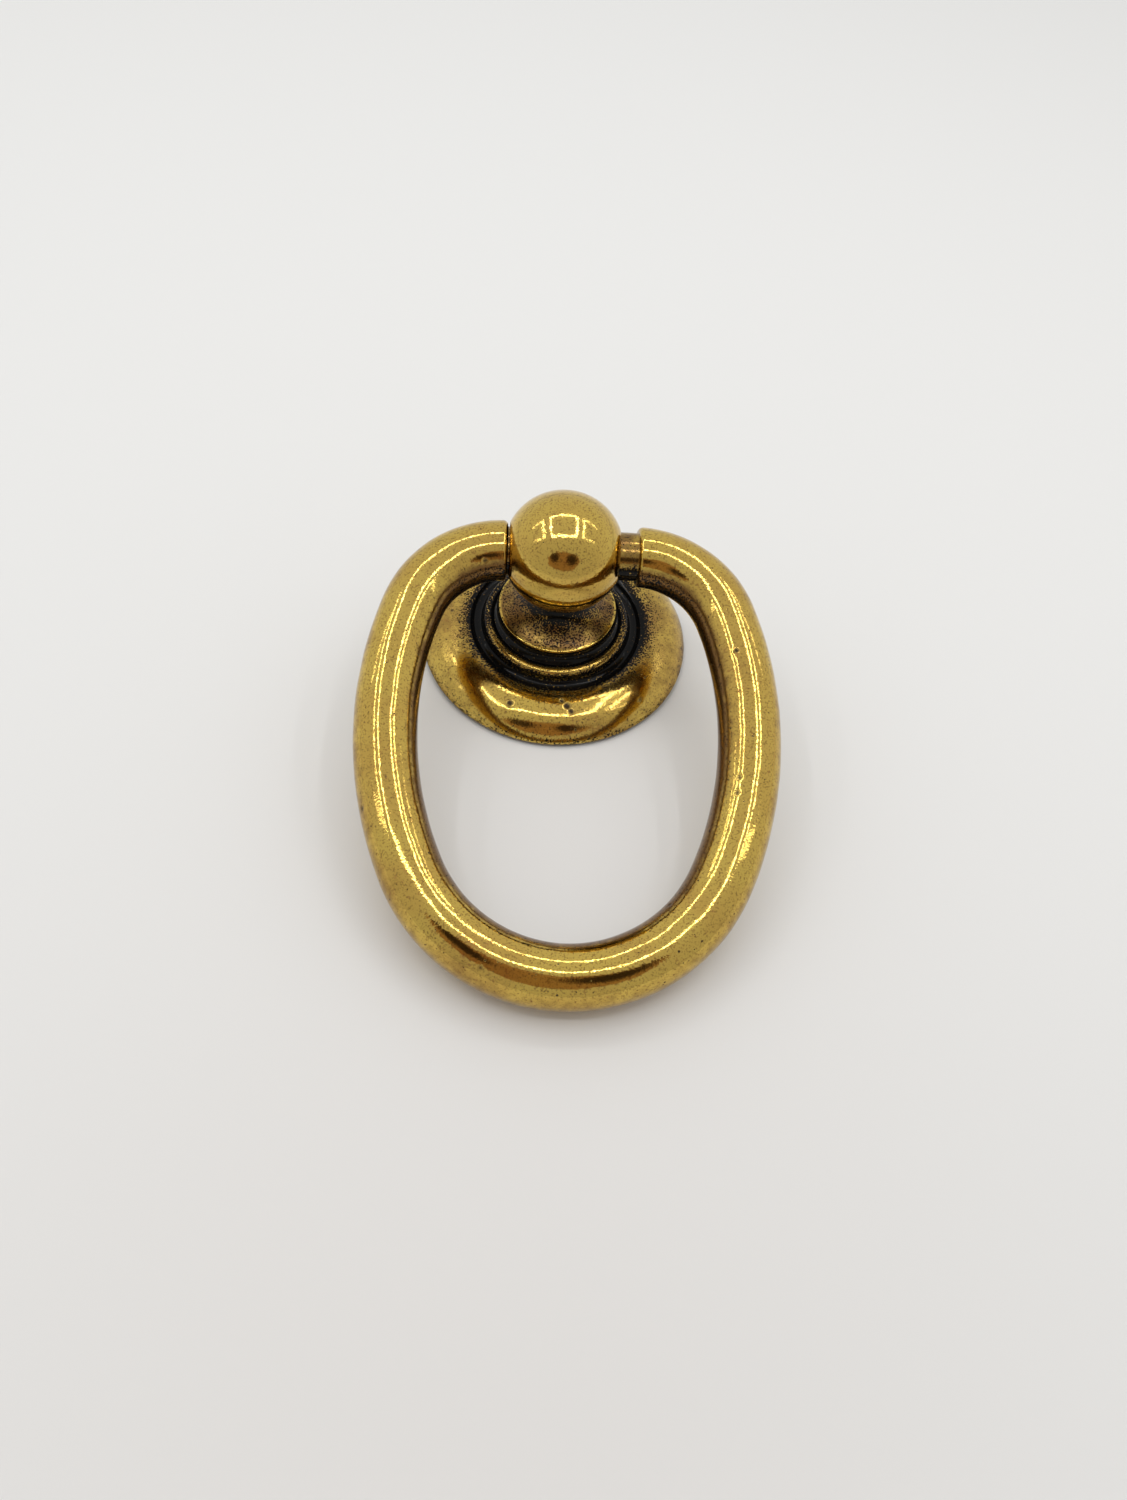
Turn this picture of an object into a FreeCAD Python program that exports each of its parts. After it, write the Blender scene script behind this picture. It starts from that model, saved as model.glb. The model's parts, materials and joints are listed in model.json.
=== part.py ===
# Ring pull for a drawer: a turned rose, a post with a ball head, and an oval ring hung in the ball.
# Millimetres and degrees. The origin is the centre of the rose's back face, where the fixing screw
# enters, and +Z runs along the post. The ring hangs towards -Y and rests on the plane of that face.

import FreeCAD, Part
import math
import os
import Sketcher
from FreeCAD import Vector

DIMENSIONS = {
    # Rose: torus moulding, round groove and bead, relieved at the back
    "rose_diameter": 30.0,
    "rose_rim_height": 0.6,
    "torus_inner_height": 2.9,
    "torus_arc_height": 1.06,
    "groove_width": 1.5,
    "groove_arc_depth": 0.65,
    "bead_width": 1.05,
    "bead_drop": 0.6,
    "bead_arc_height": 0.55,
    "bead_gap": 0.05,
    "seat_height": 3.8,
    "rim_land": 2.8,
    "hub_land": 2.0,
    "relief_depth": 1.2,
    "relief_slope_width": 0.4,
    # Post: tenon, foot with its cove and rim, scotia, neck and ball, with the heights from the seat
    "tenon_diameter": 8.0,
    "tenon_clearance": 0.05,
    "foot_diameter": 14.0,
    "foot_land": 0.25,
    "foot_height": 2.0,
    "foot_cove_depth": 0.25,
    "foot_rim_diameter": 13.0,
    "foot_rim_land": 0.25,
    "scotia_depth": 0.7,
    "neck_diameter": 7.0,
    "ball_rise": 10.6,
    "ball_diameter": 12.74,
    # Tapped hole for the fixing screw, at its core diameter
    "screw_core_diameter": 3.3,
    "screw_hole_depth": 8.5,
    # Ring: round bar with its two ends turned down to spigots in the ball, lengths from the hinge axis
    "bar_diameter": 6.26,
    "ring_width": 42.5,
    "ring_length": 43.8,
    "ring_widest_drop": 18.8,
    "shoulder_turn": 71.0,
    "bottom_turn": 66.0,
    "ring_end_rounding": 0.45,
    "ring_end_land": 0.1,
    "ring_side_play": 1.08,
    "ring_side_gap": 0.18,
    "spigot_diameter": 5.0,
    "spigot_entry": 4.0,
    "spigot_chamfer": 0.4,
    "spigot_clearance": 0.3,
    "spigot_rest_gap": 0.05,
}

# Distance below which two edges count as lying in the same place
SAME_PLACE = 0.001

# A sketch numbers the points of a curve from its start, and its own two axes backwards from -1
_, START, END, CENTRE = range(4)
ACROSS_AXIS, UP_AXIS = range(-1, -3, -1)
ORIGIN = (ACROSS_AXIS, START)

doc = FreeCAD.newDocument("ring_pull")
sheet = doc.addObject("Spreadsheet::Sheet", "dims")
for row, (alias, value) in enumerate(DIMENSIONS.items(), 1):
    sheet.set(f"A{row}", alias)
    sheet.set(f"B{row}", str(value))
    sheet.setAlias(f"B{row}", alias)
doc.recompute()

# Sizes worked out from the sheet, as expressions that the sketches and features are bound to
ROSE_RADIUS = "dims.rose_diameter / 2"
TENON_RADIUS = "dims.tenon_diameter / 2"
BORE_RADIUS = f"({TENON_RADIUS} + dims.tenon_clearance)"
FOOT_RADIUS = "dims.foot_diameter / 2"
FOOT_RIM_RADIUS = "dims.foot_rim_diameter / 2"
FOOT_RIM_HEIGHT = "(dims.seat_height + dims.foot_height)"
SEAT_RADIUS = f"({FOOT_RADIUS} + dims.bead_gap)"
BEAD_OUTER_RADIUS = f"({SEAT_RADIUS} + dims.bead_width)"
GROOVE_OUTER_RADIUS = f"({BEAD_OUTER_RADIUS} + dims.groove_width)"
RELIEF_INNER_RADIUS = f"({BORE_RADIUS} + dims.hub_land)"
RELIEF_OUTER_RADIUS = f"({ROSE_RADIUS} - dims.rim_land)"
NECK_RADIUS = "dims.neck_diameter / 2"
BALL_RADIUS = "dims.ball_diameter / 2"
BALL_HEIGHT = "(dims.seat_height + dims.ball_rise)"
NECK_HEIGHT = f"({BALL_HEIGHT} - sqrt(({BALL_RADIUS})^2 - ({NECK_RADIUS})^2))"
CROSS_HOLE_RADIUS = "(dims.spigot_diameter / 2 + dims.spigot_clearance)"
PIVOT_HEIGHT = f"({BALL_HEIGHT} - dims.spigot_clearance + dims.spigot_rest_gap)"
BAR_RADIUS = "dims.bar_diameter / 2"
SPIGOT_RADIUS = "dims.spigot_diameter / 2"
HALF_WIDTH = f"(dims.ring_width / 2 - {BAR_RADIUS})"
HALF_GAP = f"(sqrt(({BALL_RADIUS})^2 - {CROSS_HOLE_RADIUS}^2) + dims.ring_side_play)"
SPIGOT_LENGTH = "(dims.ring_side_play + dims.spigot_entry)"
END_WALL = f"({BAR_RADIUS} - {SPIGOT_RADIUS} - dims.ring_end_land)"
RING_TILT = f"asin(({PIVOT_HEIGHT} - {BAR_RADIUS}) / dims.ring_length)"


def size(expression):
    """The number that an expression on the sheet gives."""
    return float(sheet.evalExpression(expression))


def arc_radius(start, end, height):
    """Expression for the radius of an arc from start to end that rises by a height off its chord."""
    across = f"(({end[0]}) - ({start[0]}))"
    up = f"(({end[1]}) - ({start[1]}))"
    return f"({across}^2 + {up}^2) / (8 * {height}) + {height} / 2"


def new_body(label):
    body = doc.addObject("PartDesign::Body", label)
    body.Label = label
    return body


def origin_feature(body, role):
    return next(feature for feature in body.Origin.OriginFeatures if feature.Role == role)


def new_sketch(body, name, plane):
    """A sketch on one of the body's own origin planes."""
    sketch = body.newObject("Sketcher::SketchObject", name)
    sketch.AttachmentSupport = [(origin_feature(body, plane), "")]
    sketch.MapMode = "FlatFace"
    return sketch


def bind(sketch, kind, where, expression):
    """Adds a dimension to a sketch and ties it to the sheet."""
    index = sketch.addConstraint(Sketcher.Constraint(kind, *where, size(expression)))
    sketch.setExpression(f"Constraints[{index}]", expression)


def bind_turn(sketch, arc, expression):
    """Ties the angle that an arc turns through to the sheet, in degrees."""
    index = sketch.addConstraint(Sketcher.Constraint("Angle", arc, math.radians(size(expression))))
    sketch.setExpression(f"Constraints[{index}]", f"{expression} * 1 deg")


def pin_point(sketch, geometry, position, across, up):
    """Fixes a point of a sketch at two expressions from its origin, or on an axis where one is 0."""
    for kind, axis, expression in (("DistanceX", UP_AXIS, across), ("DistanceY", ACROSS_AXIS, up)):
        if expression == "0":
            sketch.addConstraint(Sketcher.Constraint("PointOnObject", geometry, position, axis))
        else:
            bind(sketch, kind, (*ORIGIN, geometry, position), expression)


def short_arc(start, end, radius, turn):
    """The arc under half a circle from start to end, turning left for turn 1 and right for turn -1."""
    chord = end - start
    left = Vector(-chord.y, chord.x, 0).normalize()
    reach = math.sqrt(max(radius**2 - (chord.Length / 2) ** 2, 0))
    centre = (start + end) / 2 + left * reach * turn
    first, last = (start, end) if turn > 0 else (end, start)
    first_angle = math.atan2(first.y - centre.y, first.x - centre.x)
    last_angle = math.atan2(last.y - centre.y, last.x - centre.x)
    return Part.ArcOfCircle(Part.Circle(centre, Vector(0, 0, 1), radius), first_angle, last_angle)


def trace(sketch, corners, arcs):
    """Closed outline through corners, each a pair of expressions.

    arcs gives, by the number of the side that follows a corner, the expression of the side's radius
    and the way it turns, 1 for left and -1 for right. The other sides are straight.
    """
    points = [Vector(size(across), size(up), 0) for across, up in corners]
    ends = []
    for side, start in enumerate(points):
        end = points[(side + 1) % len(points)]
        if side in arcs:
            radius, turn = arcs[side]
            geometry = sketch.addGeometry(short_arc(start, end, size(radius), turn))
            bind(sketch, "Radius", (geometry,), radius)
            ends.append((geometry, START, END) if turn > 0 else (geometry, END, START))
        else:
            geometry = sketch.addGeometry(Part.LineSegment(start, end))
            ends.append((geometry, START, END))
    for side, (across, up) in enumerate(corners):
        geometry, start, _ = ends[side]
        before, _, before_end = ends[side - 1]
        sketch.addConstraint(Sketcher.Constraint("Coincident", before, before_end, geometry, start))
        pin_point(sketch, geometry, start, across, up)


def circle(sketch, across, up, radius):
    """A circle in a sketch, with its centre at two expressions from the origin."""
    centre = Vector(size(across), size(up), 0)
    geometry = sketch.addGeometry(Part.Circle(centre, Vector(0, 0, 1), size(radius)))
    pin_point(sketch, geometry, CENTRE, across, up)
    bind(sketch, "Radius", (geometry,), radius)


def revolve(body, name, sketch):
    feature = body.newObject("PartDesign::Revolution", name)
    feature.Profile = sketch
    feature.ReferenceAxis = (sketch, ["V_Axis"])
    feature.Angle = 360.0


def edges_across(shape, reach, diameter):
    """Names of the round edges of a diameter that lie square to X, at that reach from the origin."""
    names = []
    for number, edge in enumerate(shape.Edges, 1):
        box = edge.BoundBox
        is_square = box.XLength < SAME_PLACE
        is_there = abs(box.Center.x - reach) < SAME_PLACE
        is_round = abs(box.ZLength - diameter) < SAME_PLACE
        if is_square and is_there and is_round:
            names.append(f"Edge{number}")
    return names


def make_rose():
    """Turned rose: one outline from the bore round the back, the torus, the groove and the bead."""
    body = new_body("rose_plate")
    outline = new_sketch(body, "rose_outline", "XZ_Plane")
    rim = (ROSE_RADIUS, "dims.rose_rim_height")
    torus_edge = (GROOVE_OUTER_RADIUS, "dims.torus_inner_height")
    bead_edge = (BEAD_OUTER_RADIUS, "(dims.seat_height - dims.bead_drop)")
    seat_edge = (SEAT_RADIUS, "dims.seat_height")
    corners = [
        (BORE_RADIUS, "0"),
        (RELIEF_INNER_RADIUS, "0"),
        (f"{RELIEF_INNER_RADIUS} + dims.relief_slope_width", "dims.relief_depth"),
        (f"{RELIEF_OUTER_RADIUS} - dims.relief_slope_width", "dims.relief_depth"),
        (RELIEF_OUTER_RADIUS, "0"),
        (ROSE_RADIUS, "0"),
        rim,
        torus_edge,
        bead_edge,
        seat_edge,
        (BORE_RADIUS, "dims.seat_height"),
    ]
    arcs = {
        corners.index(rim): (arc_radius(rim, torus_edge, "dims.torus_arc_height"), 1),
        corners.index(torus_edge): (arc_radius(torus_edge, bead_edge, "dims.groove_arc_depth"), -1),
        corners.index(bead_edge): (arc_radius(bead_edge, seat_edge, "dims.bead_arc_height"), 1),
    }
    trace(outline, corners, arcs)
    revolve(body, "rose_turning", outline)
    return body


def make_post():
    """Turned post: tenon, foot, scotia and ball in one outline, cross-drilled and tapped."""
    body = new_body("ball_post")
    outline = new_sketch(body, "post_outline", "XZ_Plane")
    foot_edge = (FOOT_RADIUS, "(dims.seat_height + dims.foot_land)")
    rim_under = (FOOT_RIM_RADIUS, f"({FOOT_RIM_HEIGHT} - dims.foot_rim_land)")
    rim_top = (FOOT_RIM_RADIUS, FOOT_RIM_HEIGHT)
    neck = (NECK_RADIUS, NECK_HEIGHT)
    corners = [
        ("0", "0"),
        (TENON_RADIUS, "0"),
        (TENON_RADIUS, "dims.seat_height"),
        (FOOT_RADIUS, "dims.seat_height"),
        foot_edge,
        rim_under,
        rim_top,
        neck,
        ("0", f"{BALL_HEIGHT} + {BALL_RADIUS}"),
    ]
    arcs = {
        corners.index(foot_edge): (arc_radius(foot_edge, rim_under, "dims.foot_cove_depth"), -1),
        corners.index(rim_top): (arc_radius(rim_top, neck, "dims.scotia_depth"), -1),
        corners.index(neck): (BALL_RADIUS, 1),
    }
    trace(outline, corners, arcs)
    revolve(body, "post_turning", outline)

    cross_section = new_sketch(body, "cross_hole_section", "YZ_Plane")
    circle(cross_section, "0", BALL_HEIGHT, CROSS_HOLE_RADIUS)
    cross_hole = body.newObject("PartDesign::Pocket", "cross_hole")
    cross_hole.Profile = cross_section
    cross_hole.Type = "ThroughAll"
    cross_hole.SideType = "Symmetric"
    doc.recompute()

    screw_place = new_sketch(body, "screw_place", "XY_Plane")
    circle(screw_place, "0", "0", "dims.screw_core_diameter / 2")
    doc.recompute()
    screw_hole = body.newObject("PartDesign::Hole", "screw_hole")
    screw_hole.Profile = screw_place
    screw_hole.Reversed = True
    screw_hole.DepthType = "Dimension"
    screw_hole.DrillPoint = "Angled"
    screw_hole.setExpression("Diameter", "dims.screw_core_diameter")
    screw_hole.setExpression("Depth", "dims.screw_hole_depth")
    return body


def quarter_turn_radii(turn, across, along):
    """Radii of two tangent arcs that make a quarter turn, the first of them through the given turn.

    Both radii follow from how far the pair runs across and along, two equations without squares.
    """
    lean, rise = math.sin(turn), math.cos(turn)
    share = lean * rise - (1 - lean) * (1 - rise)
    first = (across * rise - along * (1 - lean)) / share
    second = (along * lean - across * (1 - rise)) / share
    return first, second


def ring_path(body):
    """Centre line of the ring's right half: shoulder, upper side, lower side and bottom.

    The four arcs are tangent, upright at the widest point and level at the bottom, so their radii
    follow from the ring's width, its length and the turns of the shoulder and the bottom.
    """
    sketch = new_sketch(body, "ring_path", "XY_Plane")
    half_gap, half_width, length = size(HALF_GAP), size(HALF_WIDTH), size("dims.ring_length")
    widest = size("dims.ring_widest_drop")
    shoulder_turn = math.radians(size("dims.shoulder_turn"))
    bottom_turn = math.radians(size("dims.bottom_turn"))
    shoulder, upper = quarter_turn_radii(shoulder_turn, half_width - half_gap, widest)
    bottom, lower = quarter_turn_radii(bottom_turn, half_width, length - widest)
    upright = math.pi / 2
    turns = [
        (half_gap, -shoulder, shoulder, upright - shoulder_turn, upright),
        (half_width - upper, -widest, upper, 0, upright - shoulder_turn),
        (half_width - lower, -widest, lower, bottom_turn - upright, 0),
        (0, bottom - length, bottom, -upright, bottom_turn - upright),
    ]
    arcs = []
    for across, up, radius, first_angle, last_angle in turns:
        whole = Part.Circle(Vector(across, up, 0), Vector(0, 0, 1), radius)
        arcs.append(sketch.addGeometry(Part.ArcOfCircle(whole, first_angle, last_angle)))
    for before, after in zip(arcs, arcs[1:]):
        sketch.addConstraint(Sketcher.Constraint("Tangent", before, START, after, END))

    shoulder_arc, upper_arc, _, bottom_arc = arcs
    pin_point(sketch, shoulder_arc, END, HALF_GAP, "0")
    sketch.addConstraint(Sketcher.Constraint("Vertical", shoulder_arc, END, shoulder_arc, CENTRE))
    pin_point(sketch, upper_arc, START, HALF_WIDTH, "-dims.ring_widest_drop")
    sketch.addConstraint(Sketcher.Constraint("Horizontal", upper_arc, START, upper_arc, CENTRE))
    pin_point(sketch, bottom_arc, START, "0", "-dims.ring_length")
    sketch.addConstraint(Sketcher.Constraint("PointOnObject", bottom_arc, CENTRE, UP_AXIS))
    bind_turn(sketch, shoulder_arc, "dims.shoulder_turn")
    bind_turn(sketch, bottom_arc, "dims.bottom_turn")
    return sketch


def end_section(body, name, radius):
    """A circle round the centre line where the right shoulder ends."""
    section = new_sketch(body, name, "YZ_Plane")
    section.setExpression("AttachmentOffset.Base.z", HALF_GAP)
    circle(section, "0", "0", radius)
    return section


def make_ring():
    """Oval ring of round bar with a spigot at each end: one half, mirrored, tipped onto its rest."""
    body = new_body("pull_ring")
    path = ring_path(body)
    bar = body.newObject("PartDesign::AdditivePipe", "ring_bar")
    bar.Profile = end_section(body, "bar_section", BAR_RADIUS)
    bar.Spine = path
    doc.recompute()

    spigot = body.newObject("PartDesign::Pad", "spigot")
    spigot.Profile = end_section(body, "spigot_section", SPIGOT_RADIUS)
    spigot.Reversed = True
    spigot.setExpression("Length", SPIGOT_LENGTH)
    doc.recompute()

    rounding = body.newObject("PartDesign::Fillet", "ring_end_rounding")
    end_edges = edges_across(spigot.Shape, size(HALF_GAP), size("dims.bar_diameter"))
    rounding.Base = (spigot, end_edges)
    rounding.setExpression("Radius", f"min(dims.ring_end_rounding; {END_WALL})")
    doc.recompute()

    chamfer = body.newObject("PartDesign::Chamfer", "spigot_chamfer")
    tip_reach = size(f"{HALF_GAP} - {SPIGOT_LENGTH}")
    tip_edges = edges_across(rounding.Shape, tip_reach, size("dims.spigot_diameter"))
    chamfer.Base = (rounding, tip_edges)
    chamfer.setExpression("Size", "dims.spigot_chamfer")
    doc.recompute()

    both_halves = body.newObject("PartDesign::Mirrored", "both_halves")
    both_halves.TransformMode = "Whole shape"
    both_halves.MirrorPlane = (origin_feature(body, "YZ_Plane"), [""])
    body.Tip = both_halves

    body.Placement.Rotation = FreeCAD.Rotation(Vector(1, 0, 0), size(RING_TILT))
    body.setExpression("Placement.Rotation.Angle", RING_TILT)
    body.setExpression("Placement.Base.x", "dims.ring_side_play - dims.ring_side_gap")
    body.setExpression("Placement.Base.z", PIVOT_HEIGHT)
    return body


sub_parts = [make_rose(), make_post(), make_ring()]
doc.recompute()

failed = [item.Name for item in doc.Objects if {"Invalid", "Error"} & set(item.State)]
if failed:
    raise RuntimeError(f"these objects didn't recompute: {failed}")
for part in sub_parts:
    if part.Shape.isNull() or not part.Shape.isValid() or len(part.Shape.Solids) != 1:
        raise RuntimeError(f"{part.Label} isn't one sound solid")

os.makedirs("parts", exist_ok=True)
for part in sub_parts:
    part.Shape.exportStep(f"parts/{part.Label}.step")
    box = part.Shape.optimalBoundingBox()
    low = (round(box.XMin, 2), round(box.YMin, 2), round(box.ZMin, 2))
    high = (round(box.XMax, 2), round(box.YMax, 2), round(box.ZMax, 2))
    print(f"{part.Label}: volume {part.Shape.Volume:.1f}, from {low} to {high}")
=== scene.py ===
# %% [markdown]
# # A ring pull handle in antique brass
# This drawer pull is three castings: a round rose that lies against the wood, a turned post whose ball
# stands over it, and an oval ring that hangs from a hole drilled through the ball. The packed CAD model
# gives their true sizes and places, so it is loaded first, as a fixed frame. Everything below is dressed
# around it, in the same place, in metres. The drawing sizes are in millimetres, as on a maker's drawing,
# and are turned into metres only when a mesh is made.

# %% Load the frame
import json
import math

import bmesh
import bpy
import numpy as np
from mathutils import Matrix, Vector


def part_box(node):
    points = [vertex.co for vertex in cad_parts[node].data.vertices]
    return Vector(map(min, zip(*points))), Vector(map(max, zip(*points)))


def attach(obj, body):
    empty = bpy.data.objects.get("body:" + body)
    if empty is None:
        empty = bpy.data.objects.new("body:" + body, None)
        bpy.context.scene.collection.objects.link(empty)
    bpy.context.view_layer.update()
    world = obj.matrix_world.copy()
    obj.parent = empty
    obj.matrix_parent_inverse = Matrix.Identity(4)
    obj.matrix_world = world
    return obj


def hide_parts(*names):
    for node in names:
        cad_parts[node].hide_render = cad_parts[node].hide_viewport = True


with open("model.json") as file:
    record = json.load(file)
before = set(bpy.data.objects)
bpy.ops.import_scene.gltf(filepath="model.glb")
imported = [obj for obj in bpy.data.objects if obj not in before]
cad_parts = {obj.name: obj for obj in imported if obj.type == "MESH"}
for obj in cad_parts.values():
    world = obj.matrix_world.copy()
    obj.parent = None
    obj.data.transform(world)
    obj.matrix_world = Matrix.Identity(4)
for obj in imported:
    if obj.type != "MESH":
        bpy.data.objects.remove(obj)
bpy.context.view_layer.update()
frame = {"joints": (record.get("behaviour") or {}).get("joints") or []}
MM = 0.001


def box_mm(node):
    """Lowest and highest corner of a CAD node, in millimetres."""
    low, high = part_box(node)
    return np.array(low) / MM, np.array(high) / MM


rose_low, rose_high = box_mm("rose_plate")
post_low, post_high = box_mm("ball_post")
ring_low, ring_high = box_mm("pull_ring")
pivot_height = frame["joints"][0]["pos_m"][2] / MM
print("rose is", np.round(rose_high - rose_low, 2), "mm")
print("post is", np.round(post_high - post_low, 2), "mm")
print("ring is", np.round(ring_high - ring_low, 2), "mm, and it swings", round(pivot_height, 2), "mm up")

# %% [markdown]
# ## The camera
# The picture was taken by hand from close above, with the camera turned a little on its axis. A camera
# could be placed by eye, but then every outline is slightly off. Here its direction, its distance and its
# lens come from fitting the outlines of ball, rose and ring, so the render can be laid over the picture.

# %% Camera
CAMERA_ELEVATION = math.radians(56.88)
CAMERA_YAW = math.radians(-7.17)
CAMERA_ROLL = math.radians(8.26)
CAMERA_DISTANCE = 115.23
CAMERA_AIM = Vector((0.6024, -18.8662, 5.4884))
FOCAL_LENGTH_PIXELS = 1129.0
PICTURE_LONG_SIDE = 1500.0
SENSOR = 36.0
NEAREST_SEEN = 5.0

camera_back = Vector((
    math.sin(CAMERA_YAW) * math.cos(CAMERA_ELEVATION),
    -math.cos(CAMERA_YAW) * math.cos(CAMERA_ELEVATION),
    math.sin(CAMERA_ELEVATION),
))
level_right = Vector((0, 0, 1)).cross(camera_back).normalized()
level_up = camera_back.cross(level_right)
camera_right = math.cos(CAMERA_ROLL) * level_right + math.sin(CAMERA_ROLL) * level_up
camera_up = camera_back.cross(camera_right)
camera_eye = (CAMERA_AIM + CAMERA_DISTANCE * camera_back) * MM

lens = bpy.data.cameras.new("hand_camera")
lens.sensor_width = SENSOR
lens.lens = SENSOR * FOCAL_LENGTH_PIXELS / PICTURE_LONG_SIDE
lens.clip_start = NEAREST_SEEN * MM
camera = bpy.data.objects.new("hand_camera", lens)
camera.matrix_world = Matrix((
    (camera_right.x, camera_up.x, camera_back.x, camera_eye.x),
    (camera_right.y, camera_up.y, camera_back.y, camera_eye.y),
    (camera_right.z, camera_up.z, camera_back.z, camera_eye.z),
    (0, 0, 0, 1),
))
bpy.context.scene.collection.objects.link(camera)
bpy.context.scene.camera = camera
print("camera stands", round(camera_eye.z / MM, 1), "mm above the floor")
print("its lens is", round(lens.lens, 1), "mm on a sensor of", SENSOR, "mm")

# %% [markdown]
# ## Profiles
# Rose and post are turned shapes, so a profile drawn in radius and height describes each of them. A profile
# is a list of corners and arcs. On the real casting no corner is sharp, because it went over a buffing
# wheel. A bevel could round each edge, but averaging the finely divided line does it for all of them at
# once. Last, the line is divided again with more points where it bends, so the mesh is fine only where it
# must be.

# %% Profile tools
FINE_STEP = 0.02
BELL_HALF_WIDTH = 4


def arc(start, end, rise, count=60):
    """A circular arc from start up to, but without, end; its middle stands rise to the left of the chord.
    With half the opening angle h = 2 atan(2 rise / chord), a point at angle a between -h and h lies
    R sin a along the chord from its middle and R (cos a - cos h) to the left, where R = chord / (2 sin h)."""
    start, end = np.array(start, float), np.array(end, float)
    chord = end - start
    length = np.hypot(*chord)
    along = chord / length
    left = np.array([-along[1], along[0]])
    half = 2 * np.arctan(2 * rise / length)
    radius = length / (2 * np.sin(half))
    angle = np.linspace(-half, half, count, endpoint=False)[:, None]
    return (start + end) / 2 + along * radius * np.sin(angle) + left * radius * (np.cos(angle) - np.cos(half))


def running_length(points):
    """Distance along a line of points, from its first point to each of them."""
    return np.concatenate([[0], np.cumsum(np.linalg.norm(np.diff(points, axis=0), axis=1))])


def place_along(points, lengths, wanted):
    """The points at the wanted distances, between the given ones on straight lines."""
    return np.column_stack([np.interp(wanted, lengths, column) for column in points.T])


def buff(profile, closed, reach):
    """Rounds every corner: the line is divided evenly, and each point becomes the average of its neighbours,
    weighted by a bell curve exp(-d^2 / 2 reach^2) of their distance d along the line."""
    line = np.vstack([profile, profile[:1]]) if closed else np.array(profile, float)
    lengths = running_length(line)
    count = int(lengths[-1] / FINE_STEP)
    fine = place_along(line, lengths, np.linspace(0, lengths[-1], count, endpoint=not closed))
    width = int(BELL_HALF_WIDTH * reach / FINE_STEP)
    bell = np.exp(-0.5 * (np.arange(-width, width + 1) * FINE_STEP / reach) ** 2)
    if closed:
        padded = np.pad(fine, ((width, width), (0, 0)), mode="wrap")
    else:
        padded = np.pad(fine, ((width, width), (0, 0)), mode="reflect", reflect_type="odd")
    return np.column_stack([np.convolve(column, bell / bell.sum(), "valid") for column in padded.T])


def spread(profile, count, closed, bend_share=0.5):
    """Divides a line again: one share of the points by length, the other by how much the line turns."""
    line = np.vstack([profile, profile[:1]]) if closed else profile
    steps = np.diff(line, axis=0)
    length = np.linalg.norm(steps, axis=1)
    heading = np.unwrap(np.arctan2(steps[:, 1], steps[:, 0]))
    turn = np.abs(np.diff(heading, append=heading[-1]))
    weight = (1 - bend_share) * length / length.sum() + bend_share * turn / turn.sum()
    running = np.concatenate([[0], np.cumsum(weight)])
    return place_along(line, running, np.linspace(0, running[-1], count, endpoint=not closed))


def right_hand_normals(profile, closed):
    """Unit normals on the right of the direction of travel, which is outwards for every profile here."""
    if closed:
        step = np.roll(profile, -1, axis=0) - np.roll(profile, 1, axis=0)
    else:
        step = np.gradient(profile, axis=0)
    normal = np.column_stack([step[:, 1], -step[:, 0]])
    return normal / np.linalg.norm(normal, axis=1)[:, None]


print("an arc over a chord of 2 with a rise of 1 is a half circle:", np.round(arc((0, 0), (2, 0), 1)[30], 3))

# %% [markdown]
# ## From grids to meshes
# Every piece is a grid of points: rows along its profile or path, columns around it. The grid is computed
# as one array and becomes a mesh in one step. Where the line closes on itself the last row joins the first;
# where it ends on the axis, that end is a single point with a fan of triangles, so that no hole is left.

# %% Mesh tools
SHARP_EDGE = math.radians(40)
WAVE_COUNT = 14


def turned(profile, normals, angles, offset):
    """Surface of revolution about z: the point (r, z), moved by offset along its normal, goes round as
    (r cos a, r sin a, z)."""
    radius = profile[:, :1] + normals[:, :1] * offset
    height = profile[:, 1:] + normals[:, 1:] * offset
    return np.stack([radius * np.cos(angles), radius * np.sin(angles), height + 0 * angles], axis=2)


def shell_faces(rows, columns, joined):
    """Vertex numbers of a grid's faces. Joined: the last row meets the first. Otherwise the grid has a pole
    before its first row and one after its last."""
    number = np.arange(rows * columns).reshape(rows, columns) + (0 if joined else 1)
    here = number if joined else number[:-1]
    above = np.roll(number, -1, axis=0) if joined else number[1:]
    corners = [here, np.roll(here, -1, 1), np.roll(above, -1, 1), above]
    quads = np.stack(corners, axis=2).reshape(-1, 4).tolist()
    if joined:
        return quads
    last = rows * columns + 1
    first_fan = np.column_stack([np.zeros(columns, int), np.roll(number[0], -1), number[0]])
    last_fan = np.column_stack([np.full(columns, last), number[-1], np.roll(number[-1], -1)])
    return quads + first_fan.tolist() + last_fan.tolist()


def smooth_object(name, mesh):
    """Puts a mesh into the scene at the origin, shaded smooth except at sharp edges."""
    mesh.shade_smooth()
    mesh.set_sharp_from_angle(angle=SHARP_EDGE)
    piece = bpy.data.objects.new(name, mesh)
    bpy.context.scene.collection.objects.link(piece)
    return piece


def new_piece(name, points, faces):
    """A mesh object at the origin, from points in millimetres."""
    mesh = bpy.data.meshes.new(name)
    mesh.from_pydata((points * MM).tolist(), [], faces)
    return smooth_object(name, mesh)


def keep_on_mesh(piece, name, values):
    """Stores one number per vertex, for the material to read."""
    layer = piece.data.attributes.new(name, "FLOAT", "POINT")
    layer.data.foreach_set("value", np.asarray(values, np.float32).ravel())


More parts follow.
